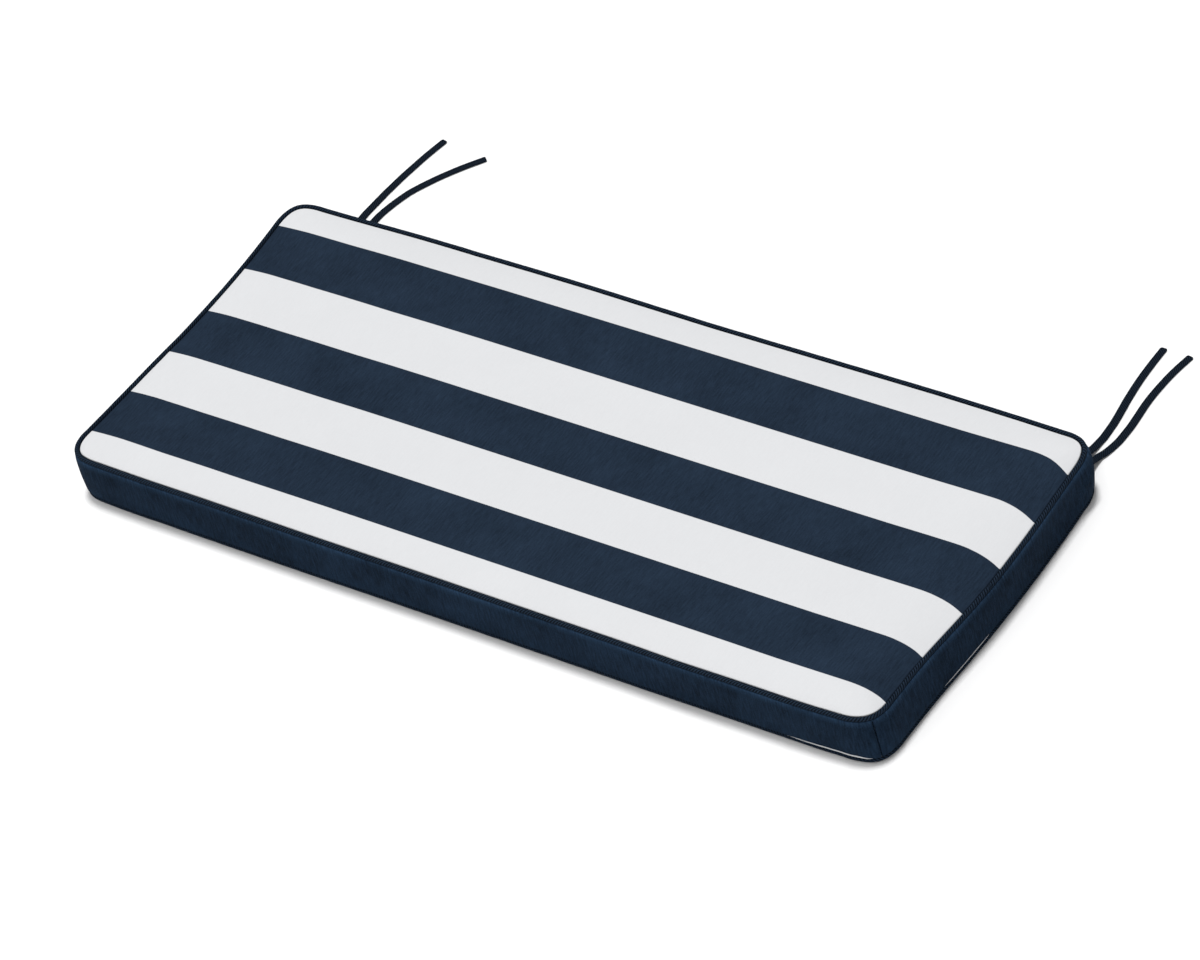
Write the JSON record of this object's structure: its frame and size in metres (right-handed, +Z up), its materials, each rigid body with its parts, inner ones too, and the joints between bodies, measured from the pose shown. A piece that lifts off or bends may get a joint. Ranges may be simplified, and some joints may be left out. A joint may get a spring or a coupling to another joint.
{
  "type": "bench cushion",
  "caption": "Long boxed bench cushion with wide stripes, piping in both seams, a plain side strip and narrow tie tapes at the back corners.",
  "frame": {"origin": "on the ground under the middle of the cushion, halfway along its length and its depth, measured without the ties", "axes": "+X along the long side to the right, +Y to the back edge that carries the ties, +Z up out of the top panel"},
  "size_m": [1.0878, 0.644, 0.0687],
  "materials": {
    "striped_cloth": "matt woven cloth in wide white and navy stripes",
    "side_cloth": "matt woven cloth, plain navy",
    "trim_cloth": "matt woven cloth and tape, very dark navy"
  },
  "bodies": {
    "root": {"cushion_pad": "striped_cloth", "boxing_front": "side_cloth", "boxing_right": "side_cloth", "boxing_back": "side_cloth", "boxing_left": "side_cloth", "piping_top": "trim_cloth", "piping_bottom": "trim_cloth", "tie_left_outer": "trim_cloth", "tie_left_inner": "trim_cloth", "tie_right_inner": "trim_cloth", "tie_right_outer": "trim_cloth"}
  },
  "joints": []
}
